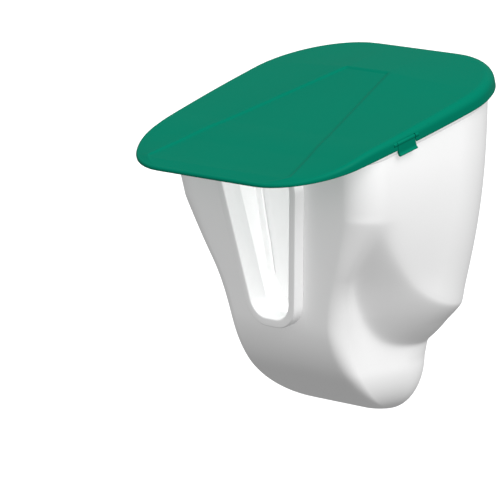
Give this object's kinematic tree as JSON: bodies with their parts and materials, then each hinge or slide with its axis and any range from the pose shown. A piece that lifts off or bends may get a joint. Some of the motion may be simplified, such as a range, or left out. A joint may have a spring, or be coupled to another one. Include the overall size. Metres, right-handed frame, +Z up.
{
  "type": "poultry feeder",
  "caption": "Wall-hung gravity poultry feeder: moulded hopper with a raised feeding port, a lower trough and a hinged visor lid.",
  "frame": {"origin": "centre of the wall bracket's back face, where it lies on the wall", "axes": "+Y into the wall, +Z up, +X to the right of someone who faces the feeding port"},
  "size_m": [0.3672, 0.3959, 0.421],
  "materials": {
    "white_plastic": "satin moulded white polypropylene",
    "green_plastic": "satin moulded green polypropylene",
    "galvanised_steel": "spangled zinc coating",
    "bright_steel": "drawn wire, zinc plated"
  },
  "bodies": {
    "bracket": {"wall_bracket": "galvanised_steel"},
    "feeder": {"hopper_body": "white_plastic", "port_collar": "white_plastic", "hinge_rod": "bright_steel", "rod_clip_left": "bright_steel", "rod_clip_right": "bright_steel"},
    "baffle": {"feed_baffle": "white_plastic"},
    "cover": {"lid": "green_plastic", "latch_pin_left": "bright_steel", "latch_pin_right": "bright_steel"},
    "left_tab": {"latch_left": "green_plastic"},
    "right_tab": {"latch_right": "green_plastic"}
  },
  "joints": [
    {"name": "lift_off", "type": "slide", "parent": "bracket", "child": "feeder", "axis": [0, 0, 1], "range_m": [0, 0.026]},
    {"name": "baffle_lift", "type": "slide", "parent": "feeder", "child": "baffle", "axis": [0, 0, 1], "range_m": [0, 0.03]},
    {"name": "lid_hinge", "type": "hinge", "parent": "feeder", "child": "cover", "pos_m": [0, -0.028, 0.08153], "axis": [-1, 0, 0], "range_deg": [0, 100]},
    {"name": "left_latch_swing", "type": "hinge", "parent": "cover", "child": "left_tab", "pos_m": [-0.17917, -0.24636, 0.03394], "axis": [-0.0633, 0.9608, 0.2701], "range_deg": [0, 75]},
    {"name": "right_latch_swing", "type": "hinge", "parent": "cover", "child": "right_tab", "pos_m": [0.17917, -0.24636, 0.03394], "axis": [-0.0633, -0.9608, -0.2701], "range_deg": [0, 75]}
  ]
}
